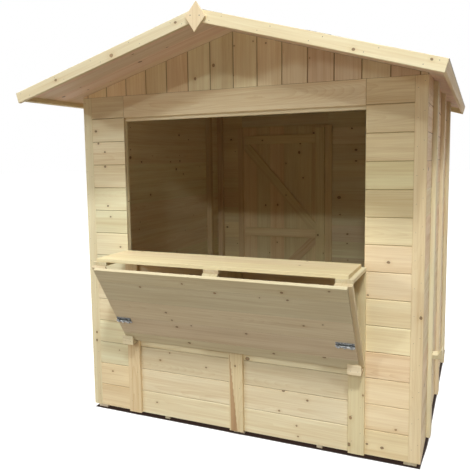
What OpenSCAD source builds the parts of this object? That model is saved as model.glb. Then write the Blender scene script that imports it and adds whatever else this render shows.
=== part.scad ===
// Wooden market stall: a hut of tongue-and-groove boards with a serving hatch, a folding counter
// held open in front of it, a pitched roof that reaches out over the counter and a door at the back.
// Millimetres. +X is to the right of someone facing the counter, +Y runs from front to back, +Z is up.

/* [Hut] */
// Width over the side walls
hut_w = 2000; // [1900:10:2400]
// Depth over the front and back walls
hut_d = 2000; // [1800:10:2600]
// Height of the side walls at their outer face
eave_h = 1971; // [1950:1:2200]
// Thickness of the wall boards
wall_t = 20; // [16:1:26]
// Height of the lower edge of the walls above the ground
ground_gap = 25; // [10:1:40]
// Width of the upright boards at the corners
corner_w = 60; // [50:1:90]
// How far the foot of the gables lies below the eaves
gable_foot = 8; // [4:1:30]

/* [Floor] */
// Height of the floor joists
joist_h = 45; // [45:1:95]
// Width of the joists under the side walls
outer_joist_w = 65; // [45:1:90]
// Width of the other joists
inner_joist_w = 32; // [28:1:60]
// Thickness of the floor boards
floor_t = 20; // [16:1:28]
// Gap between the two floor panels
panel_gap = 4; // [2:1:10]

/* [Frame inside the walls] */
// Side of the square corner posts and studs
stud_w = 45; // [35:1:60]
// Distance from the front and back walls to the side studs
stud_in = 265; // [200:5:400]
// Thickness of the boards that frame the hatch and the doorway
frame_t = 20; // [16:1:26]
// Width of the boards that frame the hatch
frame_w = 80; // [60:1:110]
// Width of the boards that frame the doorway
jamb_w = 37; // [30:1:60]

/* [Serving hatch] */
// Width of the hatch
hatch_w = 1420; // [1300:2:1500]
// Height of the sill of the hatch above the ground
sill_h = 1004; // [950:1:1080]
// Height of the upper edge of the hatch above the ground
head_h = 1836; // [1750:1:1880]
// How far the head rail shows below the upper edge of the hatch
head_show = 21; // [5:1:40]

/* [Battens] */
// Width of the battens on the front wall, the counter and the side walls
batten_w = 85; // [70:1:100]
// Thickness of the battens on the front wall and the counter
batten_t = 20; // [16:1:26]
// How far the outer battens of the counter reach beyond the hatch
batten_lap = 11; // [5:1:25]
// Thickness of the battens on the side walls
side_batten_t = 23; // [16:1:30]
// Distance from the front and back walls to the outer side battens
side_batten_in = 315; // [200:5:400]

/* [Counter] */
// Gap between the ends of the shelf and the sides of the hatch
shelf_end_gap = 10; // [2:1:20]
// Distance from the back edge of the shelf to the outer face of the wall
shelf_back = 25; // [5:1:40]
// Thickness of the shelf
shelf_t = 20; // [16:1:28]
// How far the ends of the leaning flap lie inside the sides of the hatch
flap_end_gap = 10; // [2:1:20]
// Thickness of the flap
flap_t = 20; // [16:1:26]
// Lean of the flap from upright, in degrees
flap_lean = 32.9; // [30:0.1:36]
// Height of the lower edge of the flap above the ground
flap_foot_h = 500; // [460:1:540]
// How far the top of the flap rises above the underside of the arms
flap_top_lap = 2; // [1:0.5:8]
// Gap between the flap and what it leans on
flap_seat = 0.3; // [0.1:0.1:1]
// Gap between the foot of the flap and the battens behind it
flap_foot_gap = 1.5; // [0.5:0.5:6]

/* [Notched cleats] */
// Length of a cleat
cleat_w = 73; // [50:1:80]
// Thickness of the foot of a cleat
cleat_t = 22; // [14:1:28]
// Height of the lip above the foot of a cleat
lip_h = 32; // [20:1:40]
// Thickness of the lip at its top
lip_t = 4; // [2:1:10]
// Gap between the lip and the flap
lip_gap = 2; // [1:0.5:6]
// Depth of the notch in the cleat on the side wall
side_notch = 26; // [20:1:40]

/* [Slide bolts] */
// Length of the plate of a slide bolt
bolt_plate_l = 95; // [70:1:120]
// Width of the plate of a slide bolt
bolt_plate_w = 40; // [30:1:50]
// Thickness of the plate of a slide bolt
bolt_plate_t = 3; // [2:0.5:4]
// Diameter of the sliding rod
bolt_d = 10; // [8:1:12]
// Gap between the rod and the plate
bolt_lift = 1; // [0.5:0.5:3]
// Width of each guide of the rod
bolt_guide_w = 14; // [8:1:20]
// Distance from the middle of a bolt to the foot of the flap
bolt_up = 182; // [120:1:260]
// Distance from a bolt to the end of the flap
bolt_end = 4; // [1:1:20]

/* [Door] */
// Width of the doorway
doorway_w = 789; // [700:1:860]
// Distance from the doorway to the outer face of the hinge-side wall
doorway_in = 251; // [220:1:320]
// Height of the upper edge of the doorway above the ground
doorway_h = 1870; // [1800:1:1900]
// Gap around the door
door_gap = 7; // [6:0.5:12]
// How far the frame of the doorway reaches behind the edges of the door
stop_lap = 12; // [10:1:16]
// Gap between the door and the frame behind it
stop_gap = 6; // [5.5:0.5:10]
// Width of the ledges, the braces and the stile
ledge_w = 75; // [60:1:100]
// Thickness of the ledges, the braces and the stile
ledge_t = 20; // [16:1:24]
// Distance from the ledges to the edges of the door
ledge_in = 20; // [15:1:30]
// Distance from the ends of the door to the outer ledges
ledge_up = 75; // [40:1:120]
// Height of the middle ledge above the ground
mid_ledge_h = 885; // [800:1:980]
// Height of the pull handle above the ground
handle_h = 1000; // [900:1:1150]
// Length of the pull handle
handle_l = 140; // [100:1:180]
// Diameter of the pull handle
handle_d = 12; // [8:1:16]
// How far the pull handle stands out
handle_out = 36; // [30:1:50]
// Distance from the pull handle to the free edge of the door
handle_in = 50; // [30:1:70]

/* [Hinges] */
// Diameter of the hinge pin
pin_d = 7; // [5:0.5:8]
// Gap around the hinge pin
pin_gap = 0.05; // [0.02:0.01:0.1]
// Outer diameter of the hinge barrel
barrel_d = 14; // [12:0.5:18]
// Gap between the barrel and the wall face
barrel_gap = 1; // [0.5:0.5:3]
// Gap between neighbouring knuckles
knuckle_gap = 0.5; // [0.3:0.1:1]
// Length of the strap
strap_l = 300; // [200:5:400]
// Height of the strap at the barrel
strap_w = 40; // [30:1:50]
// Thickness of the strap and the plate
strap_t = 4; // [3:0.5:5]
// Height of the plate on the wall
plate_h = 110; // [90:1:140]
// Width of the plate on the wall
plate_w = 42; // [30:1:50]

/* [Roof] */
// Pitch of the roof, in degrees
roof_pitch = 16.25; // [14:0.25:20]
// Thickness of the roof boards
roof_t = 20; // [16:1:26]
// How far the soffit reaches out beyond the side walls
eave_overhang = 104; // [80:1:160]
// How far the roof reaches out beyond the front wall
front_overhang = 450; // [420:1:600]
// How far the roof reaches out beyond the back wall
back_overhang = 80; // [60:1:200]
// Width of the barge boards
barge_w = 57; // [45:1:80]
// Thickness of the barge boards
barge_t = 20; // [16:1:26]
// Width of the boards along the eaves
eave_board_w = 45; // [35:1:70]
// Thickness of the boards along the eaves
eave_board_t = 20; // [16:1:26]
// Thickness of the roofing felt
felt_t = 3; // [2:0.5:5]
// Distance from the roofing felt to the faces of the barge boards
felt_in = 12; // [4:1:20]
// Gap between the walls and the roof boards
roof_seat = 0.1; // [0.05:0.05:0.5]

/* [Ridge lozenge] */
// Width of the lozenge that covers the joint of the front barge boards
lozenge_w = 105; // [80:1:130]
// Height of the lozenge
lozenge_h = 140; // [110:1:160]
// Thickness of the lozenge
lozenge_t = 15; // [10:1:20]
// Height of the middle of the lozenge below the top of the barge boards
lozenge_drop = 42; // [30:1:60]
// How far the middle of the lozenge lies to the right of the ridge
lozenge_shift = 5; // [-10:1:10]
// Turn of the lozenge to the right, in degrees
lozenge_tilt = 4; // [-6:0.5:6]

/* [Hidden] */

spruce = "#e6d2a6";
shaded_spruce = "#c9b48a";
zinc = "#b9bcc0";
felt_grey = "#6d706c";

half_w = hut_w / 2;
slope = tan(roof_pitch);
soffit_apex = eave_h + half_w * slope;
roof_apex = soffit_apex + roof_seat;
lintel_top = eave_h - gable_foot;
floor_top = joist_h + floor_t;
inner_front = wall_t;
inner_back = hut_d - wall_t;

// The front wall's face in the part's frame, whose origin is under the middle of the whole box
front_reach = front_overhang + lozenge_t;
front_y = front_reach - (front_reach + hut_d + back_overhang) / 2;

// Counter
shelf_w = hatch_w - 2 * shelf_end_gap;
flap_w = hatch_w - 2 * flap_end_gap;
batten_x = hatch_w / 2 + batten_lap - batten_w;
arm_top = sill_h + batten_t;
flap_depth = flap_t + batten_t;
flap_foot_y = -batten_t - flap_foot_gap - flap_depth * cos(flap_lean);
flap_top_h = sill_h + flap_top_lap;
flap_l = (flap_top_h - flap_foot_h - flap_depth * sin(flap_lean)) / cos(flap_lean);
arm_front = flap_inner_y(sill_h) + flap_seat / cos(flap_lean);
flap_notch = lip_gap - batten_t - flap_foot_y;
cleat_h = flap_foot_h - flap_seat;

// Door
doorway_x = doorway_in - half_w;
door_x0 = doorway_x + door_gap;
door_x1 = doorway_x + doorway_w - door_gap;
door_z0 = floor_top + door_gap;
door_z1 = doorway_h - door_gap;
ledge_x0 = door_x0 + ledge_in;
stile_x0 = door_x1 - ledge_in - ledge_w;
low_ledge_z = door_z0 + ledge_up;
top_ledge_z = door_z1 - ledge_up - ledge_w;
ledge_heights = [low_ledge_z, mid_ledge_h, top_ledge_z];

// Hinges: the pin stands behind the gap between the door and the wall
pin_x = doorway_x + door_gap / 2;
pin_y = hut_d + barrel_gap + barrel_d / 2;
hinge_heights = [low_ledge_z + ledge_w / 2, top_ledge_z + ledge_w / 2];

// Roof, laid out along the slope from the ridge
slope_l = (half_w + eave_overhang) / cos(roof_pitch);
barge_drop = barge_w - roof_t;
roof_front = -front_overhang;
roof_back = hut_d + back_overhang;

function soffit_z(x) = soffit_apex - abs(x) * slope;
function flap_inner_y(z) = flap_foot_y + flap_depth / cos(flap_lean) - (z - flap_foot_h) * tan(flap_lean);
// A point u along the right slope from the ridge and w above the soffit
function on_slope(u, w) = [
    u * cos(roof_pitch) + w * sin(roof_pitch),
    roof_apex - u * sin(roof_pitch) + w * cos(roof_pitch)
];
// A point on the middle plane of the roof, w above the soffit
function on_ridge(w) = [0, roof_apex + w / cos(roof_pitch)];

module hut() {
    translate([0, front_y, 0]) children();
}

module block(low, high) {
    translate(low) cube(high - low);
}

module both_sides() {
    children();
    mirror([1, 0, 0]) children();
}

// An outline in X and Z, drawn out from y0 to y1
module along_y(y0, y1) {
    translate([0, y1, 0]) rotate([90, 0, 0]) linear_extrude(y1 - y0) children();
}

// An outline in Y and Z, drawn out from x0 to x1
module along_x(x0, x1) {
    translate([x0, 0, 0]) rotate([90, 0, 90]) linear_extrude(x1 - x0) children();
}

// The flap's own frame: x along the foot, y into the hut, z up the flap
module on_flap() {
    translate([0, flap_foot_y, flap_foot_h]) rotate([flap_lean, 0, 0]) children();
}

// An upright strip outside or inside the right wall, cut to the soffit
module upright(x0, x1, y0, y1, z0) {
    along_y(y0, y1) polygon([[x0, z0], [x1, z0], [x1, soffit_z(x1)], [x0, soffit_z(x0)]]);
}

// Three strips across the counter: left, middle and right
module at_battens() {
    for (x = [-batten_x - batten_w, -batten_w / 2, batten_x]) translate([x, 0, 0]) children();
}

module floor_joists() {
    edge = half_w - wall_t;
    middle = (edge - outer_joist_w + panel_gap / 2 + inner_joist_w) / 2;
    color(shaded_spruce) hut() both_sides() {
        block([edge - outer_joist_w, inner_front, 0], [edge, inner_back, joist_h]);
        block([middle - inner_joist_w / 2, inner_front, 0], [middle + inner_joist_w / 2, inner_back, joist_h]);
        block([panel_gap / 2, inner_front, 0], [panel_gap / 2 + inner_joist_w, inner_back, joist_h]);
    }
}

module floor_panels() {
    color(spruce) hut() both_sides()
        block([panel_gap / 2, inner_front, joist_h], [half_w - wall_t, inner_back, floor_top]);
}

module front_lower_wall() {
    color(spruce) hut() block([-hatch_w / 2, 0, ground_gap], [hatch_w / 2, wall_t, sill_h]);
}

module front_side_wall() {
    block([hatch_w / 2, 0, ground_gap], [half_w - corner_w, wall_t, lintel_top]);
}

module front_left_wall() {
    color(spruce) hut() mirror([1, 0, 0]) front_side_wall();
}

module front_right_wall() {
    color(spruce) hut() front_side_wall();
}

module front_lintel() {
    color(spruce) hut() block([-hatch_w / 2, 0, head_h], [hatch_w / 2, wall_t, lintel_top]);
}

module gable(y) {
    along_y(y, y + wall_t) polygon([
        [-half_w, lintel_top], [half_w, lintel_top], [half_w, eave_h], [0, soffit_apex], [-half_w, eave_h]
    ]);
}

module front_gable() {
    color(spruce) hut() gable(0);
}

module corner_boards() {
    color(spruce) hut() both_sides() for (y = [0, inner_back])
        block([half_w - corner_w, y, ground_gap], [half_w, y + wall_t, lintel_top]);
}

module wall_studs() {
    edge = half_w - wall_t;
    places = [inner_front, stud_in, hut_d - stud_in - stud_w, inner_back - stud_w];
    color(shaded_spruce) hut() both_sides() for (y = places)
        upright(edge - stud_w, edge, y, y + stud_w, floor_top);
}

module hatch_posts() {
    color(spruce) hut() both_sides()
        block([hatch_w / 2, inner_front, floor_top],
              [hatch_w / 2 + frame_w, inner_front + frame_t, head_h - head_show]);
}

module hatch_head_rail() {
    edge = hatch_w / 2 + frame_w;
    low = head_h - head_show;
    color(spruce) hut() block([-edge, inner_front, low], [edge, inner_front + frame_t, low + frame_w]);
}

module front_battens() {
    color(spruce) hut() at_battens() block([0, -batten_t, ground_gap], [batten_w, 0, sill_h]);
}

module counter_shelf() {
    color(spruce) hut()
        block([-shelf_w / 2, arm_front, arm_top], [shelf_w / 2, -shelf_back, arm_top + shelf_t]);
}

module counter_arms() {
    color(spruce) hut() at_battens() block([0, arm_front, sill_h], [batten_w, 0, arm_top]);
}

module flap_board() {
    color(shaded_spruce) hut() on_flap() block([-flap_w / 2, 0, 0], [flap_w / 2, flap_t, flap_l]);
}

module flap_battens() {
    color(spruce) hut() on_flap() at_battens() block([0, flap_t, 0], [batten_w, flap_depth, flap_l]);
}

// A plate with a rod that slides in two guides, at the right end of the flap
module slide_bolt() {
    end = flap_w / 2 - bolt_end;
    start = end - bolt_plate_l;
    rod_y = -bolt_plate_t - bolt_lift - bolt_d / 2;
    guide_half = bolt_d / 2 + bolt_plate_t;
    block([start, -bolt_plate_t, bolt_up - bolt_plate_w / 2], [end, 0, bolt_up + bolt_plate_w / 2]);
    for (x = [start + bolt_guide_w / 2, end - 1.5 * bolt_guide_w])
        block([x, rod_y - guide_half, bolt_up - guide_half], [x + bolt_guide_w, 0, bolt_up + guide_half]);
    translate([start, rod_y, bolt_up]) rotate([0, 90, 0]) cylinder(d = bolt_d, h = bolt_plate_l, $fn = 32);
}

module flap_bolts() {
    color(zinc) hut() on_flap() both_sides() slide_bolt();
}

// A notched block, drawn outward from a batten's face at y 0: the lip leans like the flap
module cleat(notch) {
    lip_top = notch + lip_h * tan(flap_lean);
    front = lip_top + lip_t;
    along_x(-cleat_w / 2, cleat_w / 2) polygon([
        [0, cleat_h - cleat_t], [0, cleat_h], [-notch, cleat_h],
        [-lip_top, cleat_h + lip_h], [-front, cleat_h + lip_h], [-front, cleat_h - cleat_t]
    ]);
}

// Two under the flap and one on the first batten of the right wall
module cleats() {
    color(spruce) hut() {
        both_sides() translate([batten_x + batten_w / 2, -batten_t, 0]) cleat(flap_notch);
        translate([half_w + side_batten_t, side_batten_in + batten_w / 2, 0]) rotate([0, 0, 90]) cleat(side_notch);
    }
}

module side_wall() {
    upright(half_w - wall_t, half_w, inner_front, inner_back, ground_gap);
}

module left_wall() {
    color(spruce) hut() mirror([1, 0, 0]) side_wall();
}

module right_wall() {
    color(spruce) hut() side_wall();
}

module side_battens() {
    places = [side_batten_in, (hut_d - batten_w) / 2, hut_d - side_batten_in - batten_w];
    color(spruce) hut() both_sides() for (y = places)
        upright(half_w, half_w + side_batten_t, y, y + batten_w, ground_gap);
}

module back_left_wall() {
    color(spruce) hut() block([corner_w - half_w, inner_back, ground_gap], [doorway_x, hut_d, lintel_top]);
}

module back_right_wall() {
    color(spruce) hut()
        block([doorway_x + doorway_w, inner_back, ground_gap], [half_w - corner_w, hut_d, lintel_top]);
}

module back_lintel() {
    color(spruce) hut() block([doorway_x, inner_back, doorway_h], [doorway_x + doorway_w, hut_d, lintel_top]);
}

module back_threshold() {
    color(spruce) hut() block([doorway_x, inner_back, ground_gap], [doorway_x + doorway_w, hut_d, floor_top]);
}

module back_gable() {
    color(spruce) hut() gable(inner_back);
}

// A frame board of the doorway, rebated behind the edge of the door: the wall ends at 0
module frame_outline() {
    polygon([
        [-jamb_w, inner_back - frame_t], [stop_lap, inner_back - frame_t], [stop_lap, inner_back - stop_gap],
        [0, inner_back - stop_gap], [0, inner_back], [-jamb_w, inner_back]
    ]);
}

module door_jambs() {
    middle = doorway_x + doorway_w / 2;
    color(spruce) hut() translate([middle, 0, floor_top]) both_sides()
        translate([-doorway_w / 2, 0, 0]) linear_extrude(doorway_h - stop_lap - floor_top) frame_outline();
}

module door_head() {
    color(spruce) hut() translate([doorway_x - jamb_w, 0, doorway_h])
        rotate([0, 90, 0]) linear_extrude(doorway_w + 2 * jamb_w) frame_outline();
}

module door_boards() {
    color(spruce) hut() block([door_x0, inner_back, door_z0], [door_x1, hut_d, door_z1]);
}

module door_ledges() {
    color(spruce) hut() for (z = ledge_heights)
        block([ledge_x0, inner_back - ledge_t, z], [stile_x0, inner_back, z + ledge_w]);
}

module door_stile() {
    color(spruce) hut()
        block([stile_x0, inner_back - ledge_t, door_z0 + ledge_in],
              [stile_x0 + ledge_w, inner_back, door_z1 - ledge_in]);
}

// A brace from the hinge-side corner of a bay to its free-side corner, cut to the bay
module brace(z_hinge, z_free) {
    run = stile_x0 - ledge_x0;
    angle = atan2(z_free - z_hinge, run);
    low = min(z_hinge, z_free);
    high = max(z_hinge, z_free);
    along_y(inner_back - ledge_t, inner_back) intersection() {
        translate([ledge_x0, low]) square([run, high - low]);
        translate([ledge_x0, z_hinge]) rotate(angle) translate([-run, -ledge_w / 2]) square([4 * run, ledge_w]);
    }
}

module door_braces() {
    color(spruce) hut() {
        brace(top_ledge_z, mid_ledge_h + ledge_w);
        brace(low_ledge_z + ledge_w, mid_ledge_h);
    }
}

module door_handle() {
    x = door_x1 - handle_in;
    color(zinc) hut() translate([x, hut_d, handle_h]) {
        for (z = [-1, 1] * (handle_l - handle_d) / 2)
            translate([0, 0, z]) rotate([-90, 0, 0]) cylinder(d = handle_d, h = handle_out - handle_d / 2, $fn = 32);
        translate([0, handle_out - handle_d / 2, -handle_l / 2]) cylinder(d = handle_d, h = handle_l, $fn = 32);
    }
}

// The strap on the door, tapered to its end, with the middle knuckle of the barrel
module hinge_strap() {
    tip = strap_w / 2;
    difference() {
        union() {
            cylinder(d = barrel_d, h = strap_w, center = true, $fn = 48);
            translate([0, hut_d - pin_y + strap_t, 0]) rotate([90, 0, 0]) linear_extrude(strap_t)
                polygon([[0, -strap_w / 2], [strap_l, -tip / 2], [strap_l, tip / 2], [0, strap_w / 2]]);
        }
        cylinder(d = pin_d + 2 * pin_gap, h = strap_w + 2, center = true, $fn = 48);
    }
}

module at_hinges() {
    for (z = hinge_heights) translate([pin_x, pin_y, z]) children();
}

module hinge_straps() {
    color(zinc) hut() at_hinges() hinge_strap();
}

// The plate on the wall, with the pin and the outer knuckles of the barrel
module hinge_plate() {
    face = hut_d - pin_y;
    knuckle_low = strap_w / 2 + knuckle_gap;
    knuckle_h = plate_h / 2 - knuckle_low;
    plate_right = -barrel_d / 2 - knuckle_gap;
    block([plate_right - plate_w, face, -plate_h / 2], [plate_right, face + strap_t, plate_h / 2]);
    for (side = [0, 1]) mirror([0, 0, side]) {
        translate([0, 0, knuckle_low]) cylinder(d = barrel_d, h = knuckle_h, $fn = 48);
        block([plate_right, face, knuckle_low], [0, face + strap_t, plate_h / 2]);
    }
    cylinder(d = pin_d, h = plate_h, center = true, $fn = 48);
}

module hinge_plates() {
    color(zinc) hut() at_hinges() hinge_plate();
}

module roof_deck() {
    end = slope_l - eave_board_t;
    along_y(roof_front + barge_t, roof_back - barge_t)
        polygon([on_ridge(0), on_slope(end, 0), on_slope(end, roof_t), on_ridge(roof_t)]);
}

module left_roof_deck() {
    color(spruce) hut() mirror([1, 0, 0]) roof_deck();
}

module right_roof_deck() {
    color(spruce) hut() roof_deck();
}

module eave_board() {
    start = slope_l - eave_board_t;
    low = roof_t - eave_board_w;
    along_y(roof_front + barge_t, roof_back - barge_t)
        polygon([on_slope(start, low), on_slope(slope_l, low), on_slope(slope_l, roof_t), on_slope(start, roof_t)]);
}

module left_eave_board() {
    color(spruce) hut() mirror([1, 0, 0]) eave_board();
}

module right_eave_board() {
    color(spruce) hut() eave_board();
}

module barge_board(y) {
    along_y(y, y + barge_t) polygon([
        on_ridge(-barge_drop), on_slope(slope_l, -barge_drop), on_slope(slope_l, roof_t), on_ridge(roof_t)
    ]);
}

module left_front_barge() {
    color(spruce) hut() mirror([1, 0, 0]) barge_board(roof_front);
}

module right_front_barge() {
    color(spruce) hut() barge_board(roof_front);
}

module left_back_barge() {
    color(spruce) hut() mirror([1, 0, 0]) barge_board(roof_back - barge_t);
}

module right_back_barge() {
    color(spruce) hut() barge_board(roof_back - barge_t);
}

module roof_felt() {
    top = roof_t + felt_t;
    along_y(roof_front + felt_in, roof_back - felt_in)
        polygon([on_ridge(roof_t), on_slope(slope_l, roof_t), on_slope(slope_l, top), on_ridge(top)]);
}

module left_roof_felt() {
    color(felt_grey) hut() mirror([1, 0, 0]) roof_felt();
}

module right_roof_felt() {
    color(felt_grey) hut() roof_felt();
}

module ridge_lozenge() {
    middle = on_ridge(roof_t)[1] - lozenge_drop;
    color(spruce) hut() along_y(roof_front - lozenge_t, roof_front)
        translate([lozenge_shift, middle]) rotate(-lozenge_tilt) polygon([
            [0, -lozenge_h / 2], [lozenge_w / 2, 0], [0, lozenge_h / 2], [-lozenge_w / 2, 0]
        ]);
}

floor_joists();
floor_panels();
front_lower_wall();
front_left_wall();
front_right_wall();
front_lintel();
front_gable();
corner_boards();
wall_studs();
hatch_posts();
hatch_head_rail();
front_battens();
counter_shelf();
counter_arms();
flap_board();
flap_battens();
flap_bolts();
cleats();
left_wall();
right_wall();
side_battens();
back_left_wall();
back_right_wall();
back_lintel();
back_threshold();
back_gable();
door_jambs();
door_head();
door_boards();
door_ledges();
door_stile();
door_braces();
door_handle();
hinge_straps();
hinge_plates();
left_roof_deck();
right_roof_deck();
left_eave_board();
right_eave_board();
left_front_barge();
right_front_barge();
left_back_barge();
right_back_barge();
left_roof_felt();
right_roof_felt();
ridge_lozenge();
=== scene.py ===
"""Wooden market stall.

Boards, nails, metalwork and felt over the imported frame, with the floor, the lamps and the camera.
"""

import math
import random

import bpy
from mathutils import Matrix, Vector


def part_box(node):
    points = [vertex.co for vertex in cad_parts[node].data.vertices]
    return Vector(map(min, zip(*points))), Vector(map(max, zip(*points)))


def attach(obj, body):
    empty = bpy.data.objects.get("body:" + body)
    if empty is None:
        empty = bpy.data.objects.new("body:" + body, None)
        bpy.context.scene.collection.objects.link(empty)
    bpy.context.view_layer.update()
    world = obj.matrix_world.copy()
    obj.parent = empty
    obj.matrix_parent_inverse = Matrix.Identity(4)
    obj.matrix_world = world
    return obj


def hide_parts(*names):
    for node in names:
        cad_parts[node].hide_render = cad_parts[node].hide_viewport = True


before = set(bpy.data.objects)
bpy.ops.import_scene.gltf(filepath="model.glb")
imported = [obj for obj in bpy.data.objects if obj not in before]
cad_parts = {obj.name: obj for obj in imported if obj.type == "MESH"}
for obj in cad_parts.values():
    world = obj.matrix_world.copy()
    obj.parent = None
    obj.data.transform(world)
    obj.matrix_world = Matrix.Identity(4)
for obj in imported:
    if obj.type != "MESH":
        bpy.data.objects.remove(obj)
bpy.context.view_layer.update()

X, Y, Z = Vector((1, 0, 0)), Vector((0, 1, 0)), Vector((0, 0, 1))
rng = random.Random(41)

# Angles and faces that several pieces share
PITCH = math.radians(16.25)
LEAN = math.radians(32.9)
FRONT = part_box("front_lower_wall")[0].y
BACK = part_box("back_lintel")[1].y
BARGE_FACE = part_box("left_front_barge")[0].y
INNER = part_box("door_boards")[0].y


def on(y, *places):
    """Knots on an upright face at y, each from its x, z and radius."""
    return [(x, y, z, radius) for x, z, radius in places]


# Knots that show from the front: place on a face in metres and radius in millimetres
FLAP_KNOTS = [
    (-0.434, -1.12, 0.897, 7), (-0.161, -1.148, 0.941, 6), (0.013, -1.122, 0.9, 8),
    (0.379, -1.146, 0.938, 8), (0.4, -1.119, 0.896, 7), (0.614, -1.164, 0.966, 6),
    (0.642, -1.123, 0.903, 5), (0.007, -1.077, 0.831, 6), (-0.336, -1.017, 0.739, 7),
    (-0.317, -0.985, 0.689, 6), (-0.302, -0.956, 0.644, 8), (-0.204, -0.969, 0.665, 5),
    (0.389, -1.071, 0.822, 7), (0.454, -1.024, 0.749, 6), (0.535, -1.062, 0.808, 8),
    (0.124, -0.995, 0.705, 6), (0.121, -0.962, 0.653, 7), (-0.262, -0.885, 0.535, 9),
    (0.397, -0.948, 0.632, 6), (0.515, -0.982, 0.685, 7), (0.249, -0.886, 0.536, 7),
    (0.527, -0.899, 0.556, 9), (0.589, -0.938, 0.616, 7), (-0.101, -1.126, 0.907, 5),
]
FRONT_KNOTS = on(
    FRONT,
    (0.065, 0.458, 13), (-0.504, 0.375, 7), (-0.437, 0.427, 5), (-0.196, 0.371, 6),
    (0.186, 0.375, 6), (0.344, 0.394, 6), (0.276, 0.302, 8), (0.575, 0.34, 8),
    (0.412, 0.268, 7), (0.251, 0.184, 6), (0.351, 0.114, 6), (0.36, 0.054, 6),
    (-0.212, 0.28, 7), (-0.621, 0.231, 5), (-0.535, 0.103, 6), (-0.853, 0.257, 7),
    (-0.913, 1.763, 8), (-0.898, 1.689, 7), (-0.853, 1.636, 6), (-0.855, 1.548, 8),
    (-0.845, 1.308, 7), (-0.828, 1.241, 6), (-0.764, 1.057, 6), (0.828, 1.055, 8),
    (0.729, 0.88, 5), (0.713, 0.353, 6), (0.81, 0.077, 9), (0.733, 0.084, 6),
    (-0.964, 0.499, 8), (-0.966, 0.447, 8),
)
INNER_KNOTS = on(
    INNER,
    (-0.858, 1.761, 9), (-0.696, 1.686, 8), (-0.671, 1.6, 8), (-0.205, 1.711, 9),
    (-0.215, 1.632, 13), (-0.085, 1.793, 9), (-0.335, 1.539, 7), (-0.179, 1.411, 8),
    (-0.192, 1.275, 9), (-0.528, 1.164, 9), (-0.414, 1.17, 10), (-0.768, 1.288, 9),
    (-0.199, 0.993, 9), (-0.111, 0.986, 8), (0.211, 0.928, 9), (0.138, 1.242, 16),
    (0.278, 1.644, 11), (0.279, 1.553, 10), (0.242, 1.823, 8),
)
BARGE_KNOTS = on(
    BARGE_FACE,
    (-0.4735, 2.108, 11), (-0.83, 2.012, 8), (0.735, 2.028, 7), (1.045, 1.962, 6),
    (-0.105, 2.229, 7),
)
KNOT_SHRINK = 0.8
KNOTS = [(Vector((x, y, z)), KNOT_SHRINK * radius / 1000)
         for x, y, z, radius in FLAP_KNOTS + FRONT_KNOTS + INNER_KNOTS + BARGE_KNOTS]
KNOT_SLOTS = ("knot_a", "knot_b", "knot_c")
NO_KNOT = Vector((0, 0, 1e-5))
KNOT_TOUCH = 0.004  # metres from a face within which a knot belongs to it


def knots_on(origin, axes, size, offset):
    """The knots for a board's slots: those with a place on its faces, in its grain coordinates."""
    length, width, thick = size
    found = []
    for place, radius in KNOTS:
        a, c, t = ((place - origin).dot(axis) for axis in axes)
        touches = min(abs(t), abs(t - thick)) < KNOT_TOUCH
        if 0 < a < length and 0 < c < width and touches:
            found.append(Vector((a + offset.x, c + offset.y, radius)))
    spare = [NO_KNOT] * len(KNOT_SLOTS)
    return (found + spare)[:len(KNOT_SLOTS)]


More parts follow.
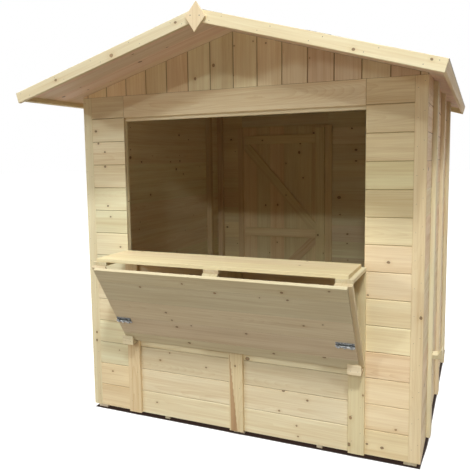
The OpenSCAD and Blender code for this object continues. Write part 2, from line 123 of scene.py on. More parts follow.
class Shader:
    """The node tree of a material or a world, written as nested calls."""

    def __init__(self, owner):
        owner.use_nodes = True
        self.owner, self.tree = owner, owner.node_tree
        self.tree.nodes.clear()

    def node(self, kind, inputs=(), **settings):
        made = self.tree.nodes.new(kind)
        for key, value in settings.items():
            setattr(made, key, value)
        for key, value in dict(inputs).items():
            self.set(made.inputs[key], value)
        return made

    def set(self, socket, value):
        if isinstance(value, bpy.types.NodeSocket):
            self.tree.links.new(value, socket)
        else:
            socket.default_value = value

    def math(self, operation, a, b=0.0, c=0.0, clamp=False):
        made = self.node("ShaderNodeMath", {0: a, 1: b, 2: c}, operation=operation, use_clamp=clamp)
        return made.outputs[0]

    def add(self, a, b):
        return self.math("ADD", a, b)

    def minus(self, a, b):
        return self.math("SUBTRACT", a, b)

    def mul(self, a, b):
        return self.math("MULTIPLY", a, b)

    def madd(self, a, b, c, clamp=False):
        return self.math("MULTIPLY_ADD", a, b, c, clamp)

    def hypot(self, a, b):
        return self.math("SQRT", self.madd(a, a, self.mul(b, b)))

    def attribute(self, name):
        return self.node("ShaderNodeAttribute", attribute_name=name).outputs["Vector"]

    def place(self, space):
        return self.node("ShaderNodeTexCoord").outputs[space]

    def split(self, vector):
        return self.node("ShaderNodeSeparateXYZ", {0: vector}).outputs

    def join(self, x, y, z):
        return self.node("ShaderNodeCombineXYZ", {0: x, 1: y, 2: z}).outputs[0]

    def grey(self, value):
        return self.join(value, value, value)

    def stretch(self, vector, x, y, z):
        made = self.node("ShaderNodeVectorMath", {0: vector, 1: (x, y, z)}, operation="MULTIPLY")
        return made.outputs[0]

    def noise(self, vector, scale=1.0, detail=2.0, roughness=0.5, output="Fac"):
        made = self.node("ShaderNodeTexNoise", {"Vector": vector, "Scale": scale, "Detail": detail,
                                                "Roughness": roughness})
        return made.outputs[output]

    def cells(self, vector, scale, randomness=1.0, dimensions="3D"):
        inputs = {"Vector": vector, "Scale": scale, "Randomness": randomness}
        return self.node("ShaderNodeTexVoronoi", inputs, voronoi_dimensions=dimensions).outputs

    def ramp(self, value, low, high, to_low=0.0, to_high=1.0, kind="SMOOTHSTEP"):
        made = self.node("ShaderNodeMapRange", {0: value, 1: low, 2: high, 3: to_low, 4: to_high},
                         interpolation_type=kind)
        return made.outputs[0]

    def mix(self, factor, a, b, blend="MIX"):
        made = self.node("ShaderNodeMix", {"Factor": factor, "A": a, "B": b}, data_type="RGBA",
                         blend_type=blend)
        return made.outputs["Result"]

    def times(self, a, b):
        return self.mix(1.0, a, b, "MULTIPLY")

    def bump(self, height, strength, distance):
        made = self.node("ShaderNodeBump", {"Height": height, "Strength": strength,
                                            "Distance": distance})
        return made.outputs[0]

    def by_sight(self, unseen, seen):
        """One shader for bounced light, and another for rays from the camera, mirrors and glass."""
        path = self.node("ShaderNodeLightPath").outputs
        passed = self.math("MAXIMUM", path["Is Glossy Ray"], path["Is Transmission Ray"])
        sight = self.math("MAXIMUM", path["Is Camera Ray"], passed)
        return self.node("ShaderNodeMixShader", {0: sight, 1: unseen, 2: seen}).outputs[0]

    def close(self, surface):
        kind = "World" if isinstance(self.owner, bpy.types.World) else "Material"
        self.tree.links.new(surface, self.node("ShaderNodeOutput" + kind).inputs[0])
        return self.owner

    def finish(self, **inputs):
        inputs = {key.replace("_", " "): value for key, value in inputs.items()}
        return self.close(self.node("ShaderNodeBsdfPrincipled", inputs).outputs[0])


def srgb(r, g, b):
    """A linear colour from 8-bit sRGB values."""
    def linear(c):
        c /= 255
        return c / 12.92 if c <= 0.04045 else ((c + 0.055) / 1.055) ** 2.4
    return linear(r), linear(g), linear(b), 1.0


KNOT_CELL = 0.115  # metres between scattered knots
KNOT_SQUEEZE = 0.8  # knots are drawn longer along the board
NO_RATIO = 99.0  # in radii of a knot, beyond any halo
HEART_DRIFT = 0.12  # metres across which the heart line wanders
RINGS_PER_METRE = 270.0

# How far each figure takes the wood from its light to its dark colour
STREAK_DEPTH, BROAD_DEPTH, FIBRE_DEPTH, LINE_DEPTH, HALO_DEPTH = 0.36, 0.22, 0.3, 0.9, 0.20


def wood(name, light, dark, rough=0.56, fuzz=0.25):
    """Softwood from board coordinates in metres: along, across and through the board."""
    s = Shader(bpy.data.materials.new(name))
    grain = s.attribute("grain")
    along, across, through = s.split(grain)
    tone, hue, shade = s.split(s.attribute("tint"))
    wild, streak_at = s.split(s.attribute("marks"))[:2]
    wobble = s.madd(s.noise(grain, 150.0, 1.0), 0.004, -0.002)

    # Scattered knots: some cells of a flat pattern hold one that runs through the board
    flat = s.join(s.mul(along, KNOT_SQUEEZE), across, 0.0)
    spots = s.cells(flat, 1 / KNOT_CELL, 0.95, "2D")
    chance, size, kind = s.split(spots["Color"])
    radius = s.madd(s.math("POWER", size, 2.0), 0.007, 0.003)
    reach = s.madd(spots["Distance"], KNOT_CELL, wobble)
    absent = s.mul(s.math("GREATER_THAN", chance, wild), NO_RATIO)
    ratio = s.add(s.math("DIVIDE", reach, radius), absent)

    # Knots with a set place on each board
    for slot in KNOT_SLOTS:
        u, v, r = s.split(s.attribute(slot))
        reach = s.hypot(s.mul(s.minus(along, u), KNOT_SQUEEZE), s.minus(across, v))
        ratio = s.math("MINIMUM", ratio, s.math("DIVIDE", s.add(reach, wobble), r))
    knot = s.ramp(ratio, 1.2, 0.85)
    halo = s.ramp(ratio, 4.5, 0.6)

    # Year rings round a heart line that wanders along the board, pushed aside by the knots
    wander = s.noise(s.join(s.mul(along, 0.75), 3.1, 0.0), detail=1.0, output="Color")
    drift_a, drift_b = s.split(wander)[:2]
    heart_a = s.add(across, s.madd(drift_a, HEART_DRIFT, -HEART_DRIFT / 2))
    heart_b = s.add(through, s.madd(drift_b, HEART_DRIFT, -HEART_DRIFT / 2))
    distance = s.madd(halo, 0.007, s.hypot(heart_a, heart_b))
    waver = s.noise(s.stretch(grain, 2.2, 26, 26), detail=3.0)
    phase = s.madd(distance, RINGS_PER_METRE, s.mul(waver, 1.6))
    ring = s.math("POWER", s.math("FRACT", phase), 2.6)
    ring_depth = s.madd(s.mul(hue, hue), 0.24, 0.08)

    # Figures stretched along the grain, from broad bands to fibres
    streak = s.ramp(s.noise(s.stretch(grain, 0.7, 20, 20), 1.0, 4.0, 0.62), 0.3, 0.72)
    broad = s.ramp(s.noise(s.stretch(grain, 0.5, 5, 5)), 0.32, 0.7)
    blot = s.noise(s.stretch(grain, 3.0, 9, 9))
    fibre = s.noise(s.stretch(grain, 7.0, 300, 300))
    line = s.noise(s.stretch(grain, 2.4, 95, 95), roughness=0.6)

    depth = s.madd(ring, ring_depth, s.mul(streak, STREAK_DEPTH))
    depth = s.madd(broad, BROAD_DEPTH, depth)
    depth = s.madd(s.minus(fibre, 0.5), FIBRE_DEPTH, depth)
    depth = s.madd(s.minus(line, 0.5), LINE_DEPTH, depth)
    depth = s.madd(halo, HALO_DEPTH, depth, clamp=True)
    colour = s.mix(depth, light, dark)

    # Each board's own tone and warmth, its cast, which is mostly painted light and shade, and its
    # brown streak
    colour = s.times(colour, s.mix(hue, (0.97, 1.0, 0.93, 1), (1.0, 0.95, 0.94, 1)))
    colour = s.times(colour, s.grey(s.madd(tone, 0.14, s.madd(blot, 0.12, 0.87))))
    colour = s.times(colour, s.attribute("cast"))
    brown = s.mul(s.ramp(s.math("ABSOLUTE", streak_at), 1.12, 0.88), 0.85)
    colour = s.mix(brown, colour, s.mix(streak, srgb(190, 152, 112), srgb(162, 122, 84)))

    # Knots, some of them paler, then painted shade at the foot of the V-joints and on the board
    # ends, warmer as it deepens, which on the ends also stands for darker end grain
    core = s.mix(s.ramp(ratio, 0.2, 0.95), srgb(128, 92, 60), srgb(84, 56, 36))
    core = s.mix(s.ramp(kind, 0.15, 0.5), s.mix(0.4, core, srgb(180, 134, 88)), core)
    colour = s.mix(s.mul(knot, 0.78), colour, core)
    painted_shade_and_end_grain = s.madd(shade, -0.72, 1.0)
    green, blue = (s.mul(painted_shade_and_end_grain, s.madd(shade, more, 1.0)) for more in (-0.12, -0.28))
    colour = s.times(colour, s.join(painted_shade_and_end_grain, green, blue))

    height = s.madd(knot, 0.5, s.madd(fibre, 0.6, s.mul(ring, -0.35)))
    gloss = s.madd(streak, 0.14, s.madd(fibre, 0.12, rough - 0.06))
    return s.finish(Base_Color=colour, Roughness=gloss, Specular_IOR_Level=0.25,
                    Normal=s.bump(height, fuzz, 0.0006))


def zinc(name, pale, dull, rough):
    """Zinc-plated steel: crystal patches, fine scratches and a dulled film."""
    s = Shader(bpy.data.materials.new(name))
    place = s.place("Object")
    patch = s.split(s.cells(place, 160.0)["Color"])[0]
    film = s.noise(place, 45.0, 4.0, 0.6)
    scratch = s.noise(s.stretch(place, 60, 900, 900))
    tone = s.madd(patch, 0.35, s.mul(film, 0.65))
    colour = s.mix(s.ramp(tone, 0.25, 0.75), pale, dull)
    gloss = s.madd(film, 0.24, s.madd(scratch, 0.12, rough - 0.18))
    return s.finish(Base_Color=colour, Metallic=1.0, Roughness=gloss,
                    Normal=s.bump(scratch, 0.12, 0.0003))


def felt(name):
    """Mineral-faced roofing felt: grey granules with worn and dusty patches."""
    s = Shader(bpy.data.materials.new(name))
    place = s.place("Object")
    grit = s.cells(place, 420.0)
    grain = s.split(grit["Color"])[0]
    patch = s.noise(place, 3.2, 5.0, 0.6)
    colour = s.mix(grain, srgb(86, 90, 88), srgb(136, 138, 133))
    colour = s.mix(s.ramp(patch, 0.35, 0.75, 0.0, 0.5), colour, srgb(112, 110, 103))
    colour = s.times(colour, s.grey(s.madd(s.split(s.attribute("tint"))[0], 0.22, 0.86)))
    height = s.madd(grit["Distance"], -1.0, s.mul(s.noise(place, 30.0, 3.0), 0.6))
    return s.finish(Base_Color=colour, Roughness=s.madd(grain, 0.1, 0.86), Specular_IOR_Level=0.25,
                    Normal=s.bump(height, 0.55, 0.0012))


SPRUCE = wood("spruce", srgb(242, 233, 203), srgb(213, 189, 146))
# A darker, greyer copy of the spruce: painted shade for the flap, whose face leans down away from
# the lamps
DARKER_SPRUCE = wood("darker_spruce", srgb(226, 215, 188), srgb(196, 173, 136))
SAWN = wood("sawn_spruce", srgb(232, 214, 180), srgb(198, 166, 122), rough=0.72, fuzz=0.5)
ZINC = zinc("zinc_plate", srgb(160, 161, 160), srgb(96, 98, 100), 0.46)
NAIL = zinc("nail_steel", srgb(112, 104, 94), srgb(70, 64, 58), 0.5)
FELT = felt("roofing_felt")

# Casts of colour, most of them painted light and shade: brighter boards where the lamps fall
# stronger, darker or warmer ones in the shadow of the roof and the flap, under the roof and inside
# the stall; a few are the wood's own tone. Each row has a limit for the place of a board's low
# edge, and the cast below it.
# Places run across the boards: up on walls of level boards, and to the left on upright front ones.
PLAIN = (1.0, 1.0, 1.0)
# Painted shade, warmer than the lit wood, inside the stall, on the door frame and brace, and under
# the roof
INSIDE = ((math.inf, (1.0, 0.94, 0.84)),)
BRACE = ((math.inf, (1.0, 0.91, 0.79)),)
SOFFIT = ((math.inf, (0.97, 0.86, 0.99)),)
LIGHT_AND_TONE_CASTS = {
    # Painted roof shadow on the right of the gable and painted light on its left
    "front_gable": ((-0.5, (0.9, 0.82, 0.82)), (0.2, (1.05, 1.02, 1.0)),
                    (math.inf, (1.08, 1.0, 0.96))),
    # Painted shadow of the flap on the lower wall's upper boards
    "front_lower_wall": ((0.4, PLAIN), (math.inf, (0.95, 0.91, 0.92))),
    # Painted light on the right panel's lower boards and painted roof shadow above them
    "front_right_wall": ((1.1, (1.14, 1.06, 1.01)), (math.inf, (0.98, 0.95, 0.86))),
    "front_left_wall": ((0.25, (0.97, 0.88, 0.81)),),
    "right_wall": ((math.inf, (1.10, 1.02, 0.98)),),
    "back_left_wall": INSIDE,
    "corner_boards": ((-0.5, (1.05, 0.97, 0.91)),),
    "front_battens": ((math.inf, (0.98, 0.93, 0.83)),),
    "floor_joists": ((math.inf, (1.04, 1.06, 1.2)),),
    "counter_shelf": ((math.inf, (1.0, 0.96, 0.87)),),
    "door_jambs": BRACE,
    "door_head": INSIDE,
    "door_boards": INSIDE,
    "door_ledges": INSIDE,
    "door_stile": INSIDE,
    "door_braces": BRACE,
    "left_roof_deck": SOFFIT,
    "right_roof_deck": SOFFIT,
    "right_front_barge": ((math.inf, (1.06, 1.08, 1.07)),),
    "ridge_lozenge": ((math.inf, (1.05, 0.96, 0.93)),),
}


def cast_of(node, place):
    """The cast of a node's board, from the place of its low edge."""
    return next((cast for limit, cast in LIGHT_AND_TONE_CASTS.get(node, ()) if place < limit), PLAIN)


NO_STREAK = 9.0  # well outside the span of a streak


def streak_place(streak, at, x):
    """Where x lies across a streak, which spans -1 to 1, at a distance along the board."""
    if not streak:
        return NO_STREAK
    low, high = (foot + slope * at for foot, slope in streak)
    return (2 * x - low - high) / max(high - low, 0.001)


def inset(outline, d):
    """A closed outline, drawn anticlockwise, moved inward by d."""
    moved = []
    for i, p in enumerate(outline):
        before, after = outline[i - 1], outline[(i + 1) % len(outline)]
        a, b = (p - before).normalized(), (after - p).normalized()
        a, b = Vector((-a.y, a.x)), Vector((-b.y, b.x))
        moved.append(p + (a + b) * (d / (1 + a.dot(b))))
    return moved


def section(width, thick, edges, slant=0.0):
    """A board's outline across and through it, with its four long edges cut off by edges:
    back low, back high, front high, front low. slant raises the high edge towards the back."""
    low_back, high_back, high_front, low_front = edges
    top = width + slant * thick
    points = []
    for corner, cut, before, after in (
        ((0, 0), low_back, (0, 1), (1, 0)),
        ((top, 0), high_back, (-1, 0), (0, 1)),
        ((width, thick), high_front, (0, -1), (-1, 0)),
        ((0, thick), low_front, (1, 0), (0, -1)),
    ):
        corner = Vector(corner)
        if cut:
            points += [corner + cut * Vector(before), corner + cut * Vector(after)]
        else:
            points.append(corner)
    return points


TINY = 1e-6
NARROWEST = 0.012  # a strip below this stays part of its neighbour
WAVE = 4.1  # radians per metre of a board's waves


class Piece:
    """One object made of many boards. Each vertex keeps its place in its own board, for the grain.
    The name starts with the node that the piece stands for, and wild is its share of scattered
    knots."""

    LAYERS = ("grain", "tint", "marks", *KNOT_SLOTS, "cast")

    def __init__(self, name, wild=0.2):
        self.name, self.wild = name, wild
        self.points, self.faces = [], []
        self.layers = {layer: [] for layer in self.LAYERS}

    def prism(self, origin, along, across, outline, length, starts=None, ends=None, lip=0.0015,
              step=0.3, bow=0.0, shades=None, end_shade=0.3, streak=None, turned=False):
        """An outline drawn out along a direction, with ends that are square or cut by a plane
        (point, normal) and turned in by lip. bow is the depth of its waves, shades darken single
        corners of the outline, and streak gives two lines along it with brown wood between them.
        The grain of a turned one runs through the outline, not along."""
        out = along.cross(across)
        offset = Vector((rng.uniform(0, 400), rng.uniform(-0.11, 0.06), rng.uniform(0.02, 0.11)))
        tone, hue, phase = rng.random(), rng.random(), rng.uniform(0, 6.28)
        size = (length, max(p.x for p in outline), max(p.y for p in outline))
        knots = knots_on(origin, (along, across, out), size, offset)
        cast = cast_of(self.name.split(".")[0], origin.dot(across))

        def cut(plane, p, default):
            if plane is None:
                return default
            base = origin + p.x * across + p.y * out
            return (plane[0] - base).dot(plane[1]) / along.dot(plane[1])

        count = max(1, round(length / step))
        runs = [("run", k / count) for k in range(count + 1)]
        rings = [("start", 0.0)] + runs + [("end", 0.0)]
        small = inset(outline, lip)
        first, n = len(self.points), len(outline)
        for kind, share in rings:
            for i, p in enumerate(outline if kind == "run" else small):
                low, high = cut(starts, p, 0.0), cut(ends, p, length)
                run = low + lip + share * (high - low - 2 * lip)
                at = {"start": low, "end": high, "run": run}[kind]
                sink = bow * (0.5 + 0.5 * math.sin(at * WAVE + phase))
                self.points.append(origin + at * along + p.x * across + (p.y - sink) * out)
                dark = (shades or {}).get(i, 0.0) if kind == "run" else end_shade
                place = Vector((p.y, p.x, at) if turned else (at, p.x, p.y)) + offset
                marks = (self.wild, streak_place(streak, at, p.x), 0.0)
                values = [place, (tone, hue, dark), marks, *knots, cast]
                for layer, value in zip(self.LAYERS, values):
                    self.layers[layer].append(value)
        self.faces.append([first + i for i in reversed(range(n))])
        self.band(first, n, len(rings))
        last = first + (len(rings) - 1) * n
        self.faces.append([last + i for i in range(n)])

    def band(self, first, sides, rings):
        """The faces between rings of points that start at first."""
        for low in range(first, first + (rings - 1) * sides, sides):
            high = low + sides
            for i in range(sides):
                after = (i + 1) % sides
                self.faces.append([low + i, low + after, high + after, high + i])

    def board(self, origin, along, across, size, vees=(0.0, 0.0), arris=0.0015, slant=0.0,
              rims=(0.8, 0.8), **more):
        """A board of size (length, width, thickness). vees cut its low and high front edges, arris
        the others, and rims are painted shade at the foot of those two cuts."""
        length, width, thick = size
        low, high = vees
        edges = (arris, arris, 0.0 if slant else high or arris, low or arris)
        outline = section(width, thick, edges, slant)
        shades = {}
        for i, p in enumerate(outline):
            if low and p.x < TINY and abs(p.y - thick + low) < TINY:
                shades[i] = rims[0]
            elif high and p.x > width - TINY and abs(p.y - thick + high) < TINY:
                shades[i] = rims[1]
        self.prism(origin, along, across, outline, length, shades=shades, **more)

    def lay(self, box, along, out, joints=(), vee=0.003, slant=0.0, **more):
        """Fills a box with boards along one axis, split across at the joints."""
        low, high = box
        across = out.cross(along)
        forward = along + across + out
        corner = Vector(low[i] if forward[i] > 0 else high[i] for i in range(3))
        length, width, thick = (abs((high - low).dot(axis)) for axis in (along, across, out))
        cuts = sorted(c - corner.dot(across) for c in joints)
        cuts = [0.0] + [c for c in cuts if NARROWEST < c < width - NARROWEST] + [width]
        for a, b in zip(cuts, cuts[1:]):
            self.board(corner + a * across, along, across, (length, b - a, thick),
                       vees=(vee if a > 0 else 0.0, vee if b < width else 0.0),
                       slant=slant if b == width else 0.0, **more)

    def head(self, point, out, radius=0.0026, rise=0.0006, sides=8):
        """A low nail or screw head on a face."""
        side = out.orthogonal().normalized()
        up = out.cross(side)
        first = len(self.points)
        rings = ((1.0, 0.0), (1.0, rise / 2), (0.6, rise))
        for share, lift in rings:
            for k in range(sides):
                angle = 2 * math.pi * k / sides
                spoke = math.cos(angle) * side + math.sin(angle) * up
                self.points.append(point + share * radius * spoke + lift * out)
        self.band(first, sides, len(rings))
        last = first + (len(rings) - 1) * sides
        self.faces.append([last + k for k in range(sides)])
        self.faces.append([first + k for k in reversed(range(sides))])

    def make(self, body, *nodes, slot="spruce", material=None):
        """Builds the object, which rides on a body and stands in for the nodes."""
        mesh = bpy.data.meshes.new(self.name)
        mesh.from_pydata([tuple(p) for p in self.points], [], self.faces)
        for name, values in self.layers.items():
            if values:
                layer = mesh.attributes.new(name, "FLOAT_VECTOR", "POINT")
                layer.data.foreach_set("vector", [c for v in values for c in v])
        mesh.materials.append(material or SPRUCE)
        made = bpy.data.objects.new(self.name, mesh)
        bpy.context.scene.collection.objects.link(made)
        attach(made, body)
        if nodes:
            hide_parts(*nodes)

    def make_steel(self, body, material):
        self.make(body, slot="zinc_plated_steel", material=material)


def solids(node):
    """The boxes of a CAD node's separate solids, in order of X, then Y, then Z."""
    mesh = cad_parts[node].data
    keys, parent = {}, []

    def root(i):
        while parent[i] != i:
            i = parent[i]
        return i

    ids = []
    for v in mesh.vertices:
        key = tuple(round(c, 5) for c in v.co)
        if key not in keys:
            keys[key] = len(parent)
            parent.append(len(parent))
        ids.append(keys[key])
    for face in mesh.polygons:
        for v in face.vertices[1:]:
            parent[root(ids[v])] = root(ids[face.vertices[0]])
    groups = {}
    for key, i in keys.items():
        groups.setdefault(root(i), []).append(key)
    boxes = [(Vector(map(min, zip(*g))), Vector(map(max, zip(*g)))) for g in groups.values()]
    return sorted(boxes, key=lambda b: tuple(round(c, 3) for c in b[0]))


def every(first, step, count):
    """Evenly spaced places."""
    return [first + step * k for k in range(count)]


def slope_up(side):
    """The direction square to a roof slope: side is -1 for the left one and 1 for the right one."""
    return Vector((side * math.sin(PITCH), 0, math.cos(PITCH)))


COURSE = 0.1392
COURSES = every(0.165, COURSE, 13)
# Painted shade at the foot of each course's V-joint: heavy on a board's lower chamfer, which faces
# down out of the light, and faint on its upper one
COURSE_RIMS = (0.97, 0.2)
UPRIGHTS = every(-0.9625, 0.1375, 15)
WALL_T = 0.02
WALL_BOW = 0.0004
FRONT_VEE = 0.004
ARRIS = 0.002
BRAD = 0.0013

nails = Piece("stall_nails")
door_nails = Piece("door_nails")

# Walls
for node in ("front_lower_wall", "front_left_wall", "front_right_wall", "front_lintel"):
    piece = Piece(node + ".boards", wild=0.03)
    lintel = node == "front_lintel"
    # The lintel's ends get heavy painted shade, for the dark joints at either end
    ends = {"lip": 0.0025, "end_shade": 0.9} if lintel else {}
    piece.lay(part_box(node), X, -Y, [] if lintel else COURSES, vee=FRONT_VEE, bow=WALL_BOW,
              rims=COURSE_RIMS, **ends)
    piece.make("stall", node)

for node in ("back_left_wall", "back_right_wall", "back_lintel", "back_threshold"):
    piece = Piece(node + ".boards", wild=0.1)
    piece.lay(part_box(node), -X, Y, COURSES, bow=WALL_BOW, rims=COURSE_RIMS)
    piece.make("stall", node)

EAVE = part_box("right_wall")[1].z - WALL_T * math.tan(PITCH)
for node, along, out in (("right_wall", Y, X), ("left_wall", -Y, -X)):
    low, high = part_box(node)
    piece = Piece(node + ".boards")
    piece.lay((low, Vector((high.x, high.y, EAVE))), along, out, COURSES, bow=WALL_BOW,
              slant=math.tan(PITCH), rims=COURSE_RIMS)
    piece.make("stall", node)

GABLE_H = 0.3
for node, out in (("front_gable", -Y), ("back_gable", Y)):
    low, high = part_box(node)
    piece = Piece(node + ".boards", wild=0.3)
    edges = [low.x] + [x for x in UPRIGHTS if abs(x) < high.x - 0.02] + [high.x]
    across = out.cross(Z)
    for a, b in zip(edges, edges[1:]):
        start = Vector((a if across.x > 0 else b, high.y if out.y < 0 else low.y, low.z))
        soffit = (Vector((0, 0, high.z)), slope_up(1 if a + b > 0 else -1))
        # Painted shade in both V-joints and on the board ends, for the dark lines between the
        # uprights and along the lintel
        piece.board(start, Z, across, (GABLE_H, b - a, high.y - low.y), ends=soffit, lip=0.002,
                    vees=(FRONT_VEE, FRONT_VEE), bow=0.0003, rims=(0.95, 0.95), end_shade=0.95)
    piece.make("stall", node)

# Uprights and rails. The middle one of the front battens has a brown streak along one edge.
UPRIGHT_NODES = (("corner_boards", Z), ("hatch_posts", Z), ("hatch_head_rail", X),
                 ("front_battens", Z))
for node, along in UPRIGHT_NODES:
    piece = Piece(node + ".boards", wild=0.12)
    for low, high in solids(node):
        look = {}
        if node == "front_battens" and abs(low.x + high.x) < 0.1:
            wide = high.x - low.x
            look = {"step": 0.04, "streak": ((wide - 0.050, 0.092), (wide - 0.010, 0.012))}
        piece.lay((low, high), along, Y if low.y > 0.5 else -Y, arris=ARRIS, **look)
    piece.make("stall", node)

for node, wild, material in (("wall_studs", 0.2, SAWN), ("side_battens", 0.05, SPRUCE)):
    piece = Piece(node + ".boards", wild=wild)
    for low, high in solids(node):
        side = 1 if low.x > 0 else -1
        across = (side * X).cross(Z)
        near, far = (low.x, high.x) if side > 0 else (high.x, low.x)
        start = Vector((near, low.y if across.y > 0 else high.y, low.z))
        soffit = (Vector((near, 0, high.z)), slope_up(side))
        size = (high.z - low.z, high.y - low.y, high.x - low.x)
        piece.board(start, Z, across, size, arris=ARRIS, ends=soffit)
        if node == "side_battens":
            for k, z in enumerate(every(0.09, COURSE, 14)):
                nails.head(Vector((far, low.y + (0.025 if k % 2 else 0.06), z)), side * X)
    piece.make("stall", node, material=material)

# The frame of the doorway, rebated behind the edges of the door
LAP, REBATE, FRAME_T = 0.012, 0.006, 0.02
low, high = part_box("door_head")
JAMB_W = high.z - low.z - LAP
rebated = [Vector(p) for p in ((-JAMB_W, 0), (0, 0), (0, REBATE), (LAP, REBATE), (LAP, FRAME_T),
                               (-JAMB_W, FRAME_T))]
mirrored = [Vector((p.x, -p.y)) for p in reversed(rebated)]
leaf_low, leaf_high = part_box("door_boards")
piece = Piece("door_jambs.boards")
for low, high in solids("door_jambs"):
    side = 1 if low.x + high.x > leaf_low.x + leaf_high.x else -1
    start = Vector((low.x + LAP if side > 0 else high.x - LAP, high.y,
                    high.z if side > 0 else low.z))
    piece.prism(start, -side * Z, -side * X, mirrored, high.z - low.z)
piece.make("stall", "door_jambs")
low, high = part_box("door_head")
piece = Piece("door_head.boards")
piece.prism(Vector((low.x, high.y, low.z + LAP)), X, -Z, rebated, high.x - low.x)
piece.make("stall", "door_head")

# Floor
FLOOR_W = 0.137
piece = Piece("floor_joists.beams")
for box in solids("floor_joists"):
    piece.lay(box, Y, Z, arris=ARRIS, end_shade=0.0)
piece.make("stall", "floor_joists")
piece = Piece("floor_panels.boards")
for box in solids("floor_panels"):
    piece.lay(box, X, Z, every(FRONT + WALL_T + FLOOR_W, FLOOR_W, 14), vee=0.001)
piece.make("stall", "floor_panels", material=SAWN)

# Counter
SHELF_W = 0.139
piece = Piece("counter_shelf.boards", wild=0.05)
low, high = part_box("counter_shelf")
piece.lay((low, high), X, Z, every(low.y + SHELF_W, SHELF_W, 2), vee=0.001)
piece.make("stall", "counter_shelf")
piece = Piece("counter_arms.boards")
for box in solids("counter_arms"):
    piece.lay(box, -Y, Z, arris=ARRIS)
piece.make("stall", "counter_arms")

low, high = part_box("flap_board")
FLAP_UP = Vector((0, -math.sin(LEAN), math.cos(LEAN)))
FLAP_OUT = Vector((0, -math.cos(LEAN), -math.sin(LEAN)))
FLAP_T = 0.02
FLAP_FOOT = Vector((0, high.y - FLAP_T * math.cos(LEAN), low.z))
FLAP_L = (high.z - low.z - FLAP_T * math.sin(LEAN)) / math.cos(LEAN)
FLAP_VEE = 0.0008


def on_flap(x, up, out):
    """A point on the flap: up from its foot and out from its front face."""
    return Vector((x, 0, 0)) + FLAP_FOOT + up * FLAP_UP + out * FLAP_OUT


piece = Piece("flap_board.boards", wild=0.02)
cuts = [0.0, 0.069, 0.209, 0.349, 0.489, FLAP_L]
for a, b in zip(cuts, cuts[1:]):
    piece.board(on_flap(low.x, a, -FLAP_T), X, FLAP_UP, (high.x - low.x, b - a, FLAP_T),
                vees=(FLAP_VEE if a else 0, FLAP_VEE if b < FLAP_L else 0))
piece.make("stall", "flap_board", material=DARKER_SPRUCE)
piece = Piece("flap_battens.boards")
for a, b in solids("flap_battens"):
    piece.board(on_flap(b.x, 0, -2 * FLAP_T), FLAP_UP, FLAP_OUT.cross(FLAP_UP),
                (FLAP_L, b.x - a.x, FLAP_T), arris=ARRIS)
piece.make("stall", "flap_battens")

# Notched cleats: foot, notch and a lip that leans with the flap. One is on the right side wall.
CLEAT_LIP, CLEAT_RIM = 0.032, 0.004
piece = Piece("cleats.blocks")
for low, high in solids("cleats"):
    on_side = low.x > 0.95
    along, out = (Y, X) if on_side else (X, -Y)
    wide, depth = (abs((high - low).dot(axis)) for axis in (along, out))
    tall = high.z - low.z
    sill = tall - CLEAT_LIP
    rim = depth - CLEAT_RIM
    notch = rim - CLEAT_LIP * math.tan(LEAN)
    outline = [Vector(p) for p in ((0, 0), (sill, 0), (sill, notch), (tall, rim), (tall, depth),
                                   (0, depth))]
    corner = Vector((low.x, low.y if on_side else high.y, low.z))
    piece.prism(corner, along, Z, outline, wide, lip=0.002)
    for share in (0.25, 0.75):
        nails.head(corner + share * wide * along + depth * out + 0.02 * Z, out, BRAD)
piece.make("stall", "cleats")

# Door
LEAF_W = 0.129
piece = Piece("door_boards.boards", wild=0.1)
low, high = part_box("door_boards")
piece.lay((low, high), Z, Y, every(low.x + LEAF_W, LEAF_W, 6))
piece.make("door", "door_boards")
for z in [(a.z + b.z) / 2 for a, b in solids("door_ledges")]:
    for x in every(low.x + 0.04, LEAF_W, 6):
        for dx, dz in ((0.0, -0.014), (0.05, 0.014)):
            door_nails.head(Vector((x + dx, high.y, z + dz)), Y)
for node, along in (("door_ledges", X), ("door_stile", Z)):
    piece = Piece(node + ".boards")
    for box in solids(node):
        piece.lay(box, along, -Y, arris=ARRIS)
    piece.make("door", node)

BRACE_HALF = 0.0375
piece = Piece("door_braces.boards")
for low, high in solids("door_braces"):
    head_z, toe_z = (high.z, low.z) if low.z > 0.9 else (low.z, high.z)
    along = Vector((high.x - low.x, 0, toe_z - head_z)).normalized()
    across = (-Y).cross(along)
    start, toe = Vector((low.x, high.y, head_z)), Vector((high.x, high.y, toe_z))
    sides = []
    for w in (-BRACE_HALF, BRACE_HALF):
        # Where each long edge of the brace enters and leaves its bay
        meets = [(x - start.x - w * across.x) / along.x for x in (low.x, high.x)]
        meets += [(z - start.z - w * across.z) / along.z for z in (low.z, high.z)]
        meets.sort()
        sides.append([start + w * across + m * along for m in meets[1:3]])
    ring = [start, sides[0][0], sides[0][1], toe, sides[1][1], sides[1][0]]
    flat = [Vector(((p - start).dot(across), -(p - start).dot(along))) for p in ring]
    area = sum(p.x * q.y - q.x * p.y for p, q in zip(flat, flat[1:] + flat[:1]))
    piece.prism(start, -Y, across, flat if area > 0 else flat[::-1], high.y - low.y, step=1.0,
                turned=True, end_shade=0.12)
piece.make("door", "door_braces")

# Roof
RIDGE = Vector((0, 0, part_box("front_gable")[1].z + 0.0001))
ROOF_T, BARGE_W, EAVE_W, EAVE_T = 0.02, 0.057, 0.045, 0.02
DECK_L = (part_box("right_roof_deck")[1].x - ROOF_T * math.sin(PITCH)) / math.cos(PITCH)
DECK_BOARDS = 20
SLOPE_L = DECK_L + EAVE_T
RIDGE_CUT = (RIDGE, X)
HEAD_ROOM = 0.0008  # left free in the CAD box for nail heads
FELT_T = 0.0012
FELT_LAP, FELT_EDGE, FELT_BEND, RIDGE_STRIP = 0.56, 0.66, 0.01, 0.13
TACK = (0.0045, 0.0009)


